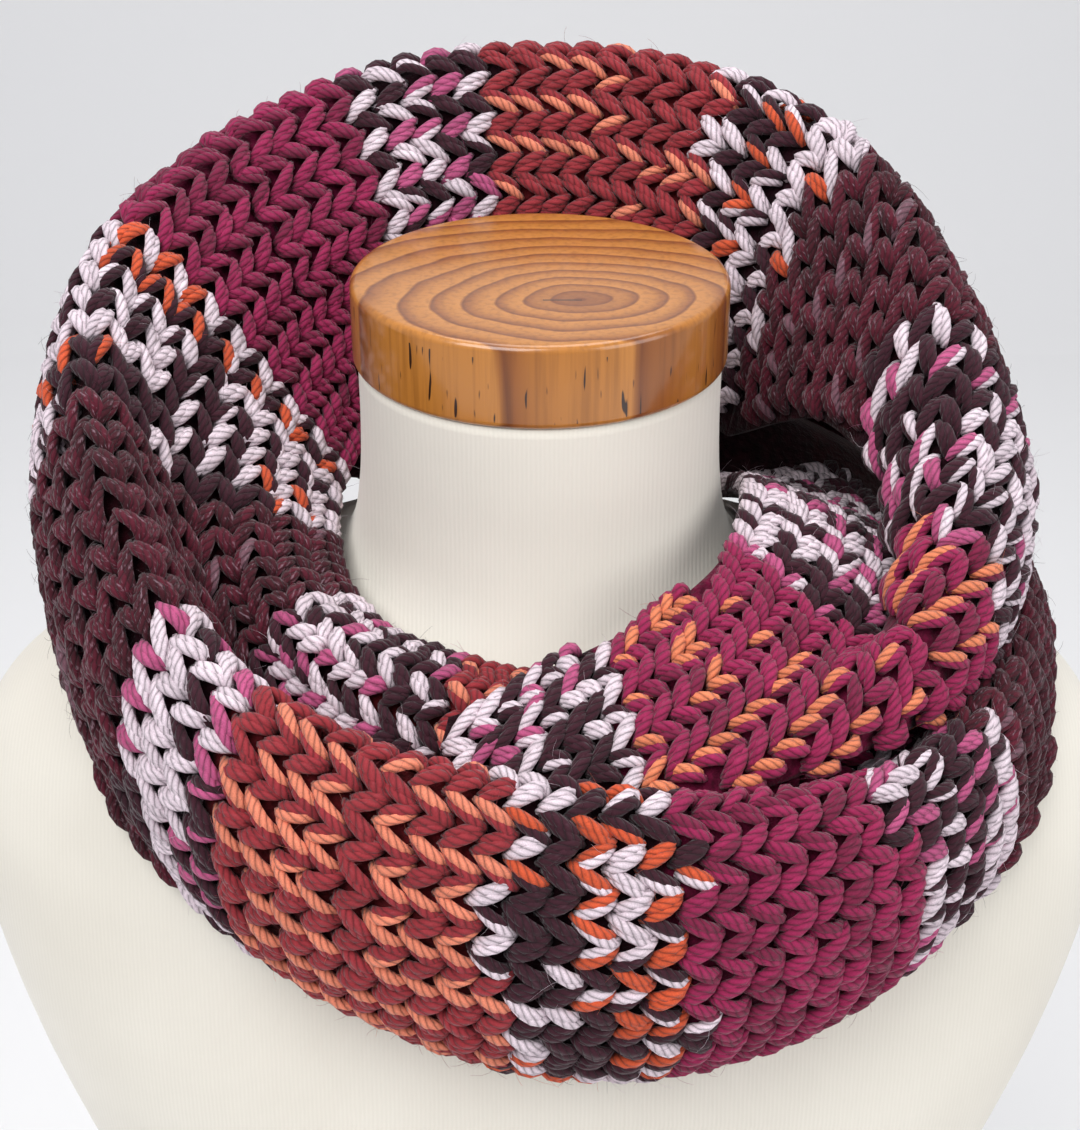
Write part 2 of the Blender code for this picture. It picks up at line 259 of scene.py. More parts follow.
def varnishedPine():
    # pine slab under gloss varnish: honey, with darker uneven growth rings round a pith off its middle
    made, tree, shader = newMaterial("varnished_pine", {
        "Roughness": 0.28, "IOR": 1.5, "Coat Weight": 0.6, "Coat Roughness": 0.12,
    })
    place = addNode(tree, "ShaderNodeTexCoord")
    centred = addNode(tree, "ShaderNodeMapping", {"Location": (-cap["pith"][0], -cap["pith"][1], -capTop)},
                      {"Vector": place.outputs["Object"]})
    stretched = addNode(tree, "ShaderNodeMapping", {"Scale": (0.8, 1.0, 0.1)},
                        {"Vector": centred.outputs["Vector"]})
    drift = addNode(tree, "ShaderNodeTexNoise", {"Scale": 28.0, "Detail": 2.0},
                    {"Vector": stretched.outputs["Vector"]})
    length = addNode(tree, "ShaderNodeVectorMath", {"operation": "LENGTH"},
                     {0: addNode(tree, "ShaderNodeVectorMath", {"operation": "MULTIPLY", 1: (0.8, 1.1, 0.08)},
                                 {0: centred.outputs["Vector"]}).outputs[0]})
    warped = addNode(tree, "ShaderNodeMath", {"operation": "MULTIPLY_ADD", 1: 0.012},
                     {0: drift.outputs["Fac"], 2: length.outputs["Value"]})
    root = addNode(tree, "ShaderNodeMath", {"operation": "POWER", 1: 0.75}, {0: warped.outputs[0]})
    turns = addNode(tree, "ShaderNodeMath", {"operation": "MULTIPLY", 1: 78.0}, {0: root.outputs[0]})
    ring = addNode(tree, "ShaderNodeMath", {"operation": "FRACT"}, {0: turns.outputs[0]})
    ringTone = addNode(tree, "ShaderNodeValToRGB", {}, {"Fac": ring.outputs[0]})
    ramp = ringTone.color_ramp
    ramp.elements[0].color = linear("#C07E36")
    ramp.elements[0].position = 0.0
    ramp.elements[1].color = linear("#C07E36")
    ramp.elements[1].position = 1.0
    for position, colour in ((0.45, "#B4732C"), (0.78, "#93551D"), (0.9, "#783F13"), (0.96, "#A26325")):
        ramp.elements.new(position).color = linear(colour)
    fine = addNode(tree, "ShaderNodeMapping", {"Scale": (500.0, 500.0, 18.0)},
                   {"Vector": centred.outputs["Vector"]})
    grain = addNode(tree, "ShaderNodeTexNoise", {"Scale": 1.0, "Detail": 3.0},
                    {"Vector": fine.outputs["Vector"]})
    grainTone = addNode(tree, "ShaderNodeValToRGB", {}, {"Fac": grain.outputs["Fac"]})
    grainTone.color_ramp.elements[0].color = linear("#C2BAB0")
    grainTone.color_ramp.elements[0].position = 0.3
    grainTone.color_ramp.elements[1].color = linear("#FFFFFF")
    grainTone.color_ramp.elements[1].position = 0.55
    wood = addNode(tree, "ShaderNodeMix", {"data_type": "RGBA", "blend_type": "MULTIPLY", 0: 0.55})
    tree.links.new(ringTone.outputs["Color"], wood.inputs[6])
    tree.links.new(grainTone.outputs["Color"], wood.inputs[7])
    # the heart: a dark knot round the pith, with a short drying crack to its left
    heart = addNode(tree, "ShaderNodeMapRange", {"From Min": 0.002, "From Max": 0.013, "To Min": 0.75,
                                                 "To Max": 0.0}, {"Value": length.outputs["Value"]})
    dark = addNode(tree, "ShaderNodeMix", {"data_type": "RGBA", 7: linear("#6E3510")},
                   {0: heart.outputs["Result"], 6: wood.outputs[2]})
    spread = addNode(tree, "ShaderNodeSeparateXYZ", {}, {0: centred.outputs["Vector"]})
    crackLength = addNode(tree, "ShaderNodeMath", {"operation": "COMPARE", 1: -0.005, 2: 0.0056},
                          {0: spread.outputs[0]})
    crackWidth = addNode(tree, "ShaderNodeMath", {"operation": "COMPARE", 1: 0.0, 2: 0.0004},
                         {0: spread.outputs[1]})
    crack = addNode(tree, "ShaderNodeMath", {"operation": "MULTIPLY"},
                    {0: crackLength.outputs[0], 1: crackWidth.outputs[0]})
    onSide = addNode(tree, "ShaderNodeMath", {"operation": "COMPARE", 1: -0.0135, 2: 0.0095},
                     {0: spread.outputs[2]})
    tall = addNode(tree, "ShaderNodeMapping", {"Scale": (750.0, 750.0, 120.0)},
                   {"Vector": centred.outputs["Vector"]})
    ducts = addNode(tree, "ShaderNodeTexNoise", {"Scale": 1.0, "Detail": 0.0},
                    {"Vector": tall.outputs["Vector"]})
    ductMask = addNode(tree, "ShaderNodeMapRange", {"From Min": 0.74, "From Max": 0.8},
                       {"Value": ducts.outputs["Fac"]})
    marks = addNode(tree, "ShaderNodeMath", {"operation": "MULTIPLY_ADD"},
                    {0: ductMask.outputs["Result"], 1: onSide.outputs[0], 2: crack.outputs[0]})
    marked = addNode(tree, "ShaderNodeMix", {"data_type": "RGBA", 7: linear("#2E1608")},
                     {0: marks.outputs[0], 6: dark.outputs[2]})
    tree.links.new(marked.outputs[2], shader.inputs["Base Color"])
    bump = addNode(tree, "ShaderNodeBump", {"Strength": 0.12, "Distance": 0.0003},
                   {"Height": grain.outputs["Fac"]})
    tree.links.new(bump.outputs["Normal"], shader.inputs["Normal"])
    return made


capPiece = neckCap()
capPiece.data.materials.append(varnishedPine())
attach(capPiece, "root")
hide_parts("neck_cap")
print("neck cap made")

# Sections of the side that shows: degrees round the neck, then (distance from its axis, height above the cap's top).
upperTurn = (
    (-235, (72, -72), (84, -28), (97, 2), (117, 23), (137, -9), (148, -46), (152, -82)),
    (-205, (74, -68), (84, -24), (95, 6), (116, 34), (136, 2), (145, -38), (147, -80)),
    (-180, (76, -66), (84, -22), (94, 6), (114, 37), (134, 6), (142, -34), (143, -77)),
    (-150, (74, -66), (84, -24), (94, 3), (117, 32), (137, 0), (145, -40), (146, -82)),
    (-120, (66, -70), (84, -36), (102, -8), (125, 17), (143, -14), (149, -54), (148, -96)),
    (-90, (62, -76), (86, -50), (108, -28), (132, -3), (147, -32), (150, -72), (147, -110)),
    (-72, (64, -80), (89, -66), (110, -60), (131, -22), (149, -50), (150, -88), (145, -120)),
    (-56, (68, -84), (92, -76), (112, -88), (132, -46), (151, -72), (151, -110), (138, -142)),
    (-40, (71, -88), (92, -83), (113, -104), (135, -68), (154, -96), (150, -134), (130, -164)),
    (-20, (71, -91), (92, -88), (116, -110), (136, -80), (156, -112), (151, -152), (120, -184)),
    (0, (70, -95), (92, -95), (117, -116), (137, -87), (157, -122), (152, -165), (118, -196)),
    (20, (71, -97), (93, -101), (119, -123), (140, -95), (159, -126), (154, -168), (122, -197)),
    (40, (73, -99), (95, -105), (123, -126), (146, -101), (161, -127), (157, -160), (137, -182)),
    (60, (76, -103), (98, -109), (127, -122), (148, -98), (159, -115), (161, -136), (153, -154)),
    (80, (78, -106), (100, -111), (126, -114), (146, -93), (154, -100), (158, -110), (159, -119)),
    (112, (82, -108), (102, -112), (122, -112), (142, -90), (150, -96), (155, -105), (157, -116)),
)
overRight = (
    (50, (116, -84), (118, -82), (121, -80), (128, -78), (135, -83), (139, -91), (140, -101)),
    (58, (114, -81), (117, -77), (121, -72), (129, -68), (139, -76), (143, -87), (143, -99)),
    (70, (109, -74), (111, -64), (116, -54), (126, -49), (139, -59), (146, -76), (145, -95)),
    (84, (100, -60), (103, -48), (109, -36), (121, -29), (139, -41), (148, -62), (149, -84)),
    (97, (86, -52), (92, -38), (103, -20), (120, -8), (138, -27), (148, -55), (151, -81)),
    (110, (76, -60), (85, -34), (99, -8), (119, 9), (138, -17), (148, -50), (152, -80)),
    (125, (72, -72), (84, -28), (97, 2), (117, 23), (137, -9), (148, -46), (152, -82)),
)
innerRight = (
    (50, (71, -66), (87, -70), (102, -77), (115, -85)),
    (60, (68, -62), (88, -68), (106, -78), (124, -92)),
    (75, (64, -61), (84, -67), (106, -79), (125, -92)),
    (95, (63, -70), (82, -78), (104, -86), (123, -92)),
    (122, (68, -86), (84, -89), (103, -92), (120, -94)),
)
crossingFront = (
    (-14, (103, -88), (107, -90), (110, -92), (113, -95), (116, -98), (119, -101), (121, -105)),
    (5, (80, -82), (92, -85), (101, -89), (108, -93), (114, -97), (120, -101), (124, -106)),
    (22, (75, -76), (90, -80), (103, -85), (111, -89), (118, -93), (125, -98), (129, -104)),
    (38, (74, -69), (90, -74), (104, -80), (113, -84), (123, -86), (132, -92), (135, -101)),
    (50, (71, -66), (87, -70), (102, -77), (116, -84), (128, -78), (139, -91), (140, -101)),
)
lowerTurn = (
    (112, (142, -90), (151, -102), (157, -116)),
    (135, (128, -80), (144, -96), (148, -122)),
    (158, (124, -68), (137, -92), (128, -128)),
    (180, (121, -64), (133, -94), (118, -134)),
    (205, (123, -66), (135, -94), (126, -124)),
    (230, (124, -70), (136, -86), (139, -108)),
    (252, (122, -68), (133, -80), (138, -95)),
)

knit = {
    "columnWidth": 13.2,  # millimetres; 17 columns of V stitches make the band's width
    "rowPitch": ((-235, 4.8), (-180, 5.1), (-120, 4.7), (-90, 4.2), (-56, 3.7), (0, 3.25), (60, 3.4), (125, 4.6),
                 (180, 5.0), (252, 4.6)),  # degrees to a row of stitches
    "strandRadius": 1.72,
    "sides": 6,
    "fibresPerStrand": 0.5,
    "fibreRadius": 0.045,
    "clearance": 7.0 * mm,  # from the form to the side that shows, as in the solids
    "shellTop": -3.3 * mm,  # the plain wall under the stitches
    "shellBottom": -5.4 * mm,
}
# One leg of a V: rows along, millimetres across from the column's middle, millimetres above the shown side
legPath = np.array([
    (0.02, 0.7, -2.5), (0.24, 1.6, -0.4), (0.50, 2.8, 0.9), (0.76, 4.0, 1.15), (1.00, 5.1, 0.4), (1.18, 5.9, -1.5),
    (1.30, 6.3, -3.6),
])
taper = np.array([0.62, 0.92, 1.03, 1.04, 0.98, 0.82, 0.55])

yarns = {
    "white": "#D9C8D0", "pink": "#B04E78", "plum": "#36111E", "brick": "#8E2A31", "salmon": "#DC8064",
    "magenta": "#8F1D4A", "raspberry": "#75183B", "burgundy": "#500D20", "wine": "#3D0917", "orange": "#C6502E",
    "coral": "#DB7D58", "grey": "#6E4A55",
}
# For each kind of section, how likely each colour is on the first strand and on the second
blends = {
    "burgundy": ((("burgundy", 5), ("wine", 3)), (("wine", 5), ("burgundy", 4), ("grey", 1))),
    "whitePink": ((("white", 5), ("plum", 5), ("pink", 2)), (("plum", 4), ("white", 4), ("pink", 2))),
    "brick": ((("brick", 1),), (("salmon", 4), ("brick", 3))),
    "whiteOrange": ((("white", 6), ("plum", 5), ("orange", 1)), (("plum", 4), ("white", 3), ("orange", 2))),
    "magenta": ((("magenta", 3), ("raspberry", 1)), (("magenta", 2), ("raspberry", 2))),
    "orangeMagenta": ((("magenta", 4), ("raspberry", 1)), (("coral", 5), ("magenta", 2))),
}


def sectionAt(table, angle):
    # the section whose start is the last one at or below the angle
    starts = np.array([row[0] for row in table])
    return np.clip(np.searchsorted(starts, angle, side="right") - 1, 0, len(table) - 1)


collarColours = (
    (-400, "burgundy"), (-241, "whiteOrange"), (-216, "brick"), (-173, "whitePink"), (-147, "magenta"),
    (-107, "whiteOrange"), (-77, "burgundy"), (-51, "whitePink"), (-35, "brick"), (-6, "whiteOrange"),
    (13, "magenta"), (37, "whitePink"), (54, "burgundy"),
)
innerStripColours = (
    (-400, "burgundy"), (-241, "whiteOrange"), (-216, "brick"), (-173, "whitePink"), (-147, "magenta"),
    (-107, "whiteOrange"), (-77, "burgundy"), (-54, "whitePink"), (-19, "brick"), (10, "magenta"),
)
rightColours = (
    (-400, "whitePink"), (11, "orangeMagenta"), (50, "whitePink"),
)
rollColours = (
    (-400, "orangeMagenta"), (63, "whitePink"), (90, "burgundy"), (119, "whiteOrange"),
)
lowerColours = (
    (-400, "burgundy"), (136, "whitePink"), (160, "magenta"), (197, "whiteOrange"), (222, "brick"),
)

# name, CAD node, sections, first and last angle, columns ("all" spreads 17 over the section, "outer" and "inner"
# count from that edge), drift of the columns towards the outside in mm for each mm, colours
stretches = (
    ("knit_collar_back", "collar_back", upperTurn, -235, -125, "all", 0.0, collarColours),
    ("knit_collar_left", "collar_left", upperTurn, -125, -56, "all", 0.0, collarColours),
    ("knit_front_loop", "front_loop", upperTurn, -56, 112, "all", 0.0, collarColours),
    ("knit_over_right", "over_right", overRight, 50, 125, "outer", 0.0, rollColours),
    ("knit_inner_right", "inner_right", innerRight, 50, 122, "inner", 0.0, rightColours),
    ("knit_crossing_front", "crossing_front", crossingFront, -14, 50, "inner", 0.28, rightColours),
    ("knit_under_back", "under_back", lowerTurn, 112, 252, "outer", 0.0, lowerColours),
)


def bandSurface(table, first, last, steps=121):
    # a surface over (angle, share of the section's length): sections joined smoothly, spread evenly, clear of the form
    stations = np.linspace(first, last, max(8, round(abs(last - first))) + 1)
    knots = [row[0] for row in table]
    sections = smoothThrough(knots, [row[1:] for row in table], stations)
    fine = np.linspace(0.0, sections.shape[1] - 1, 240)
    curves = smoothThrough(np.arange(sections.shape[1]), sections.transpose(1, 0, 2), fine).transpose(1, 0, 2)
    lengths = np.concatenate([np.zeros((len(stations), 1)),
                              np.cumsum(np.linalg.norm(np.diff(curves, axis=1), axis=2), axis=1)], axis=1)
    shares = np.linspace(0, 1, steps)
    even = np.stack([
        np.stack([np.interp(shares * total[-1], total, curve[:, axis]) for axis in (0, 1)], -1)
        for total, curve in zip(lengths, curves)
    ])
    turn = np.radians(stations)[:, None]
    outward = np.stack([np.sin(turn), -np.cos(turn), 0 * turn], -1) + np.zeros((1, steps, 1))
    points = outward * even[..., :1] * mm
    points[..., 2] = capTop + even[..., 1] * mm
    points = clearOfForm(points, outward, knit["clearance"])
    around = np.gradient(points, axis=0)
    across = np.gradient(points, axis=1)
    normals = np.cross(across, around)
    normals /= np.linalg.norm(normals, axis=-1, keepdims=True) + 1e-12
    return {"angles": stations, "points": points, "normals": normals, "width": lengths[:, -1]}


def onSurface(grid, surface, angle, share):
    # bilinear between the four grid points round each place
    row = (angle - surface["angles"][0]) / (surface["angles"][-1] - surface["angles"][0]) * (len(grid) - 1)
    column = share * (grid.shape[1] - 1)
    rowStart = np.clip(np.floor(row).astype(int), 0, len(grid) - 2)
    columnStart = np.clip(np.floor(column).astype(int), 0, grid.shape[1] - 2)
    rowPart = (row - rowStart)[..., None]
    columnPart = (column - columnStart)[..., None]
    low = grid[rowStart, columnStart] * (1 - columnPart) + grid[rowStart, columnStart + 1] * columnPart
    high = grid[rowStart + 1, columnStart] * (1 - columnPart) + grid[rowStart + 1, columnStart + 1] * columnPart
    return low * (1 - rowPart) + high * rowPart


pitchAngles, pitchDegrees = np.array(knit["rowPitch"]).T
denseAngles = np.linspace(-245, 262, 4000)
rowCount = np.concatenate([[0], np.cumsum(np.diff(denseAngles) / np.interp(denseAngles[1:], pitchAngles, pitchDegrees))])


def colourOf(names):
    return np.array([linear(yarns[name])[:3] for name in names])


def yarnColours(table, angles, rows, columns, draw):
    # each leg takes its section's blend; runs of two to four stitches along a row share one draw
    kinds = np.array([row[1] for row in table])[sectionAt(table, angles)]
    most = int(rows.max()) + 2
    run = (columns + draw.integers(0, 3, most)[rows]) // draw.integers(2, 5, most)[rows]
    colours = np.zeros((len(angles), 2, 2, 3))
    chance = draw.random((most, 40, 2, 3))
    for kind in np.unique(kinds):
        mine = kinds == kind
        for leg in (0, 1):
            lot = chance[rows[mine], run[mine] % 40, leg]
            for strand in (0, 1):
                names, weights = zip(*blends[kind][strand])
                edges = np.cumsum(weights) / sum(weights)
                colours[mine, leg, strand] = colourOf(names)[np.searchsorted(edges, lot[:, strand] * 0.9999)]
            if kind.startswith("white"):  # often both strands of a leg are alike
                same = lot[:, 2] < 0.62
            else:  # the pale strand lies behind on most of the lower legs
                same = (lot[:, 2] < 0.8) & (leg == 0)
            colours[mine, leg, 1] = np.where(same[:, None], colours[mine, leg, 0], colours[mine, leg, 1])
    return colours, kinds


def strandMesh(name, centres, normals, radii, colours, flecks, sides):
    # tubes: at each station a ring of points centre + radius (cos a side + sin a up), with flat ends
    count, stations = centres.shape[:2]
    along = np.gradient(centres, axis=1)
    along /= np.linalg.norm(along, axis=-1, keepdims=True) + 1e-12
    side = np.cross(along, normals)
    side /= np.linalg.norm(side, axis=-1, keepdims=True) + 1e-12
    up = np.cross(side, along)
    turn = np.linspace(0, 2 * math.pi, sides, endpoint=False)
    ring = side[:, :, None] * np.cos(turn)[:, None] + up[:, :, None] * np.sin(turn)[:, None]
    points = centres[:, :, None] + ring * radii[:, :, None, None]
    base = (np.arange(count) * stations * sides)[:, None, None]
    rows, columns = np.meshgrid(np.arange(stations - 1), np.arange(sides), indexing="ij")
    here, after = rows * sides + columns, rows * sides + (columns + 1) % sides
    pattern = np.stack([here, here + sides, after + sides, after], -1).reshape(1, -1, 4)
    quads = (pattern + base).reshape(-1, 4)
    start = np.arange(sides)[None, :] + base[:, 0]
    end = np.arange(sides)[None, ::-1] + (stations - 1) * sides + base[:, 0]
    made = newMesh(name, points.reshape(-1, 3), quads, (np.concatenate([start, end]),))
    mesh = made.data
    # the atlas: one cell for each strand, length up, round across
    lengths = np.concatenate([np.zeros((count, 1)), np.cumsum(np.linalg.norm(np.diff(centres, axis=1), axis=2), axis=1)], 1)
    grid = math.ceil(math.sqrt(count))
    cellX = (np.arange(count) % grid)[:, None, None] / grid
    cellY = (np.arange(count) // grid)[:, None, None] / grid
    u0 = np.stack([columns, columns, columns + 1, columns + 1], -1).reshape(1, -1, 4) / sides
    stationOf = np.stack([rows, rows + 1, rows + 1, rows], -1).reshape(-1, 4)
    atlas = np.stack([cellX + (0.08 + 0.84 * u0) / grid + 0 * cellY,
                      cellY + (0.08 + 0.84 * stationOf[None] / (stations - 1)) / grid + 0 * cellX], -1)
    twist = np.stack([u0 + np.zeros((count, 1, 1)), lengths[:, stationOf] / mm], -1)
    capU = np.full((2 * count, sides, 2), 0.5)
    capAtlas = np.stack([
        np.concatenate([cellX[:, 0], cellX[:, 0]]) + (0.45 + 0.1 * np.cos(turn)[None]) / grid,
        np.concatenate([cellY[:, 0] + 0.03 / grid, cellY[:, 0] + 0.95 / grid]) + 0.03 * (1 + np.sin(turn)[None]) / grid,
    ], -1)
    for layer, body, ends in (("OFBake", atlas, capAtlas), ("yarn", twist, capU)):
        values = np.concatenate([body.reshape(-1, 2), ends.reshape(-1, 2)])
        mesh.uv_layers.new(name=layer).data.foreach_set("uv", values.astype(np.float32).ravel())
    tint = mesh.attributes.new("dyeAndPaintedShade", "FLOAT_COLOR", "POINT")
    rgba = np.concatenate([colours, flecks[..., None]], -1)  # alpha holds how flecked the yarn is
    rgba = np.repeat(rgba[:, None], stations * sides, 1) if rgba.ndim == 2 else np.repeat(rgba, sides, 1)
    tint.data.foreach_set("color", rgba.astype(np.float32).ravel())
    return made


def shellMesh(name, surface, table):
    # the plain wall: the surface moved down twice, joined round its rim, coloured with painted shade
    grid, normals = surface["points"], surface["normals"]
    rows, columns = grid.shape[:2]
    keepColumns = np.linspace(0, columns - 1, 41).round().astype(int)
    grid, normals = grid[:, keepColumns], normals[:, keepColumns]
    columns = len(keepColumns)
    top = (grid + normals * knit["shellTop"]).reshape(-1, 3)
    bottom = (grid + normals * knit["shellBottom"]).reshape(-1, 3)
    count = rows * columns
    a, b = np.meshgrid(np.arange(rows - 1), np.arange(columns - 1), indexing="ij")
    here = (a * columns + b).ravel()
    upper = np.stack([here, here + 1, here + columns + 1, here + columns], -1)
    lower = upper[:, ::-1] + count
    rim = np.concatenate([
        np.arange(columns), np.arange(1, rows) * columns + columns - 1,
        (rows - 1) * columns + np.arange(columns - 2, -1, -1), np.arange(rows - 2, 0, -1) * columns,
    ])
    following = np.roll(rim, -1)
    walls = np.stack([rim, rim + count, following + count, following], -1)
    made = newMesh(name, np.concatenate([top, bottom]), np.concatenate([upper, lower, walls]))
    kinds = np.array([row[1] for row in table])[sectionAt(table, surface["angles"])]
    first = np.stack([colourOf([blends[kind][0][0][0]])[0] for kind in kinds])
    second = np.stack([colourOf([blends[kind][1][0][0]])[0] for kind in kinds])
    # painted shade: the darker of the section's two main yarns at half brightness, for the shade between the stitches
    shade = np.minimum(first, second) * 0.5
    rgba = np.concatenate([shade, np.zeros((rows, 1))], 1)
    values = np.tile(np.repeat(rgba, columns, 0), (2, 1))
    made.data.attributes.new("dyeAndPaintedShade", "FLOAT_COLOR", "POINT").data.foreach_set("color", values.astype(np.float32).ravel())
    return made


def plyWool():
    # soft spun wool blend, four plies: matt, with a bloom of loose fibre; the plies cross the strand at 45 degrees
    made, tree, shader = newMaterial("four_ply_wool", {
        "Roughness": 0.85, "IOR": 1.5, "Sheen Weight": 0.14, "Sheen Roughness": 0.45,
        "Specular IOR Level": 0.3,
    })
    dyeAndPaintedShade = addNode(tree, "ShaderNodeVertexColor", {"layer_name": "dyeAndPaintedShade"})
    uv = addNode(tree, "ShaderNodeUVMap", {"uv_map": "yarn"})
    split = addNode(tree, "ShaderNodeSeparateXYZ", {}, {0: uv.outputs["UV"]})
    around = addNode(tree, "ShaderNodeMath", {"operation": "MULTIPLY", 1: 4.0}, {0: split.outputs[0]})
    phase = addNode(tree, "ShaderNodeMath", {"operation": "MULTIPLY_ADD", 1: 1 / 2.6},
                    {0: split.outputs[1], 2: around.outputs[0]})
    angle = addNode(tree, "ShaderNodeMath", {"operation": "MULTIPLY", 1: math.pi}, {0: phase.outputs[0]})
    wave = addNode(tree, "ShaderNodeMath", {"operation": "ABSOLUTE"},
                   {0: addNode(tree, "ShaderNodeMath", {"operation": "SINE"}, {0: angle.outputs[0]}).outputs[0]})
    ply = addNode(tree, "ShaderNodeMath", {"operation": "POWER", 1: 0.5}, {0: wave.outputs[0]})
    place = addNode(tree, "ShaderNodeTexCoord")
    fibre = addNode(tree, "ShaderNodeTexNoise", {"Scale": 2600.0, "Detail": 3.0, "Roughness": 0.6},
                    {"Vector": place.outputs["Object"]})
    streaks = addNode(tree, "ShaderNodeMapping", {"Scale": (15.0, 0.4, 1.0), "Rotation": (0, 0, 0.3)},
                      {"Vector": uv.outputs["UV"]})
    spot = addNode(tree, "ShaderNodeTexNoise", {"Scale": 420.0, "Detail": 2.0},
                   {"Vector": place.outputs["Object"]})
    streak = addNode(tree, "ShaderNodeTexNoise", {"Scale": 1.0, "Detail": 2.0},
                     {"Vector": streaks.outputs["Vector"]})
    # painted shade: the colour darkens to 0.4 in the grooves between the plies
    shade = addNode(tree, "ShaderNodeMapRange", {"From Min": 0.0, "From Max": 1.0, "To Min": 0.4, "To Max": 1.05},
                    {"Value": ply.outputs[0]})
    mottle = addNode(tree, "ShaderNodeMapRange", {"From Min": 0.3, "From Max": 0.7, "To Min": 0.82, "To Max": 1.14},
                     {"Value": fibre.outputs["Fac"]})
    both = addNode(tree, "ShaderNodeMath", {"operation": "MULTIPLY"},
                   {0: shade.outputs["Result"], 1: mottle.outputs["Result"]})
    tinted = addNode(tree, "ShaderNodeVectorMath", {"operation": "SCALE"},
                     {0: dyeAndPaintedShade.outputs["Color"], "Scale": both.outputs[0]})
    fleckMask = addNode(tree, "ShaderNodeMath", {"operation": "MULTIPLY"}, {
        0: addNode(tree, "ShaderNodeMapRange", {"From Min": 0.56, "From Max": 0.68},
                   {"Value": streak.outputs["Fac"]}).outputs["Result"],
        1: addNode(tree, "ShaderNodeMapRange", {"From Min": 0.45, "From Max": 0.6},
                   {"Value": spot.outputs["Fac"]}).outputs["Result"]})
    fleck = addNode(tree, "ShaderNodeMath", {"operation": "MULTIPLY"},
                    {0: fleckMask.outputs[0], 1: dyeAndPaintedShade.outputs["Alpha"]})
    mixed = addNode(tree, "ShaderNodeMix", {"data_type": "RGBA", 7: linear("#A08792")},
                    {0: fleck.outputs[0], 6: tinted.outputs[0]})
    tree.links.new(mixed.outputs[2], shader.inputs["Base Color"])
    height = addNode(tree, "ShaderNodeMath", {"operation": "MULTIPLY_ADD", 1: 0.35},
                     {0: fibre.outputs["Fac"], 2: ply.outputs[0]})
    bump = addNode(tree, "ShaderNodeBump", {"Strength": 0.8, "Distance": 0.0005},
                   {"Height": height.outputs[0]})
    tree.links.new(bump.outputs["Normal"], shader.inputs["Normal"])
    return made


def shadedKnit():
    # the knit's own inside between the stitches: the same yarn in deep shade, matt and fuzzy
    made, tree, shader = newMaterial("shaded_knit", {
        "Roughness": 0.95, "IOR": 1.5, "Sheen Weight": 0.1, "Specular IOR Level": 0.1,
    })
    # its colour attribute holds painted shade: the section's yarns darkened to half
    dyeAndPaintedShade = addNode(tree, "ShaderNodeVertexColor", {"layer_name": "dyeAndPaintedShade"})
    place = addNode(tree, "ShaderNodeTexCoord")
    lumps = addNode(tree, "ShaderNodeTexNoise", {"Scale": 330.0, "Detail": 3.0},
                    {"Vector": place.outputs["Object"]})
    fibre = addNode(tree, "ShaderNodeTexNoise", {"Scale": 1500.0, "Detail": 3.0},
                    {"Vector": place.outputs["Object"]})
    shade = addNode(tree, "ShaderNodeMapRange", {"From Min": 0.35, "From Max": 0.65, "To Min": 0.45, "To Max": 1.2},
                    {"Value": lumps.outputs["Fac"]})
    tinted = addNode(tree, "ShaderNodeVectorMath", {"operation": "SCALE"},
                     {0: dyeAndPaintedShade.outputs["Color"], "Scale": shade.outputs["Result"]})
    tree.links.new(tinted.outputs[0], shader.inputs["Base Color"])
    height = addNode(tree, "ShaderNodeMath", {"operation": "MULTIPLY_ADD", 1: 0.3},
                     {0: fibre.outputs["Fac"], 2: lumps.outputs["Fac"]})
    bump = addNode(tree, "ShaderNodeBump", {"Strength": 0.9, "Distance": 0.0015},
                   {"Height": height.outputs[0]})
    tree.links.new(bump.outputs["Normal"], shader.inputs["Normal"])
    return made


